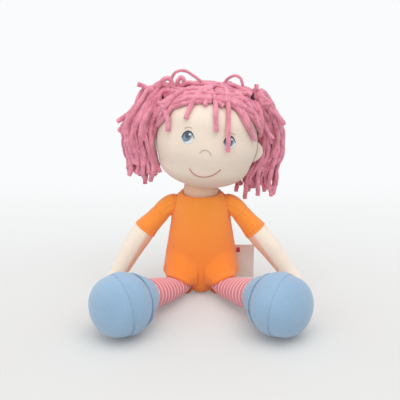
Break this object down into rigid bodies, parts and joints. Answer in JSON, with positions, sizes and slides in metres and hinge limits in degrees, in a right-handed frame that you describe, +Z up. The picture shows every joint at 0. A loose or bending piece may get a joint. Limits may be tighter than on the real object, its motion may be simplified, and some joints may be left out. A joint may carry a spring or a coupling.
{
  "type": "cloth doll",
  "caption": "Seated soft cloth doll with yarn hair tied in bunches, embroidered face, orange body suit, striped legs and round blue cloth shoes",
  "frame": {"origin": "centre of the flat under the doll's seat, on the surface that it sits on", "axes": "+Z up along the spine, -Y out of the face, +X towards the doll's own left side"},
  "size_m": [0.1913, 0.1673, 0.2101],
  "materials": {
    "orange_cloth": "matte woven cotton, orange",
    "skin_cloth": "matte brushed cotton, pale skin tone",
    "neck_cloth": "matte brushed cotton, shaded skin tone",
    "striped_knit": "fine knit, rose with thin pale pink rings",
    "blue_cloth": "matte brushed cotton, dusty blue",
    "pink_yarn": "chenille yarn, dusty pink",
    "dark_elastic": "dark elastic cord",
    "fibre_filling": "white polyester fibre filling",
    "eye_thread": "flat embroidery in grey blue thread",
    "face_thread": "embroidery thread, dusty red",
    "nose_thread": "embroidery thread, grey brown",
    "satin_label": "thin satin ribbon, bare",
    "red_tape": "thin woven tape, bare"
  },
  "bodies": {
    "torso": {"torso": "orange_cloth", "torso_stuffing": "fibre_filling", "care_label": "satin_label", "side_tag": "red_tape"},
    "neck": {"neck": "neck_cloth"},
    "neck_web": {"neck_web": "neck_cloth"},
    "head": {"head": "skin_cloth", "head_stuffing": "fibre_filling", "ear_left": "skin_cloth", "ear_right": "skin_cloth", "eye_left": "eye_thread", "eye_right": "eye_thread", "nose_stitch": "nose_thread", "mouth_stitch": "face_thread", "hair_crown": "pink_yarn"},
    "bunch_left": {"hair_bunch_left": "pink_yarn", "hair_tie_left": "dark_elastic"},
    "shoulder_web_left": {"shoulder_web_left": "orange_cloth"},
    "arm_left": {"sleeve_left": "orange_cloth", "forearm_left": "skin_cloth", "arm_stuffing_left": "fibre_filling"},
    "hip_web_left": {"hip_web_left": "orange_cloth"},
    "leg_left": {"leg_left": "striped_knit", "leg_stuffing_left": "fibre_filling"},
    "foot_left": {"ankle_cuff_left": "blue_cloth", "shoe_upper_left": "blue_cloth", "shoe_toe_left": "blue_cloth", "shoe_rim_left": "blue_cloth", "shoe_stuffing_left": "fibre_filling"},
    "bunch_right": {"hair_bunch_right": "pink_yarn", "hair_tie_right": "dark_elastic"},
    "shoulder_web_right": {"shoulder_web_right": "orange_cloth"},
    "arm_right": {"sleeve_right": "orange_cloth", "forearm_right": "skin_cloth", "arm_stuffing_right": "fibre_filling"},
    "hip_web_right": {"hip_web_right": "orange_cloth"},
    "leg_right": {"leg_right": "striped_knit", "leg_stuffing_right": "fibre_filling"},
    "foot_right": {"ankle_cuff_right": "blue_cloth", "shoe_upper_right": "blue_cloth", "shoe_toe_right": "blue_cloth", "shoe_rim_right": "blue_cloth", "shoe_stuffing_right": "fibre_filling"}
  },
  "joints": [
    {"name": "head_turn", "type": "hinge", "parent": "torso", "child": "neck", "pos_m": [0, 0, 0.097], "axis": [0, 0, -1], "range_deg": [-60, 60]},
    {"name": "head_nod", "type": "hinge", "parent": "neck", "child": "neck_web", "pos_m": [0, 0, 0.097], "axis": [1, 0, 0], "range_deg": [-25, 25]},
    {"name": "head_lean", "type": "hinge", "parent": "neck_web", "child": "head", "pos_m": [0, 0, 0.097], "axis": [0, -1, 0], "range_deg": [-15, 25]},
    {"name": "bunch_swing_left", "type": "hinge", "parent": "head", "child": "bunch_left", "pos_m": [0.04091, 0, 0.18479], "axis": [0, -1, 0], "range_deg": [0, 60]},
    {"name": "arm_swing_left", "type": "hinge", "parent": "torso", "child": "shoulder_web_left", "pos_m": [0.0285, 0, 0.085], "axis": [-1, 0, 0], "range_deg": [-60, 115]},
    {"name": "arm_raise_left", "type": "hinge", "parent": "shoulder_web_left", "child": "arm_left", "pos_m": [0.0285, 0, 0.085], "axis": [0, -1, 0], "range_deg": [-10, 45]},
    {"name": "leg_swing_left", "type": "hinge", "parent": "torso", "child": "hip_web_left", "pos_m": [0.019, -0.0125, 0.0137], "axis": [1, 0, 0], "range_deg": [-10, 105]},
    {"name": "leg_splay_left", "type": "hinge", "parent": "hip_web_left", "child": "leg_left", "pos_m": [0.019, -0.0125, 0.0137], "axis": [0, 0, 1], "range_deg": [-12, 25]},
    {"name": "foot_bend_left", "type": "hinge", "parent": "leg_left", "child": "foot_left", "pos_m": [0.04829, -0.06367, 0.02245], "axis": [0.8679, 0.4967, 0], "range_deg": [-15, 15]},
    {"name": "bunch_swing_right", "type": "hinge", "parent": "head", "child": "bunch_right", "pos_m": [-0.03049, 0, 0.18771], "axis": [0, 1, 0], "range_deg": [0, 60]},
    {"name": "arm_swing_right", "type": "hinge", "parent": "torso", "child": "shoulder_web_right", "pos_m": [-0.0285, 0, 0.085], "axis": [-1, 0, 0], "range_deg": [-60, 115]},
    {"name": "arm_raise_right", "type": "hinge", "parent": "shoulder_web_right", "child": "arm_right", "pos_m": [-0.0285, 0, 0.085], "axis": [0, 1, 0], "range_deg": [-10, 45]},
    {"name": "leg_swing_right", "type": "hinge", "parent": "torso", "child": "hip_web_right", "pos_m": [-0.019, -0.0125, 0.0137], "axis": [1, 0, 0], "range_deg": [-10, 105]},
    {"name": "leg_splay_right", "type": "hinge", "parent": "hip_web_right", "child": "leg_right", "pos_m": [-0.019, -0.0125, 0.0137], "axis": [0, 0, -1], "range_deg": [-12, 25]},
    {"name": "foot_bend_right", "type": "hinge", "parent": "leg_right", "child": "foot_right", "pos_m": [-0.04829, -0.06367, 0.02245], "axis": [0.8679, -0.4967, 0], "range_deg": [-15, 15]}
  ]
}
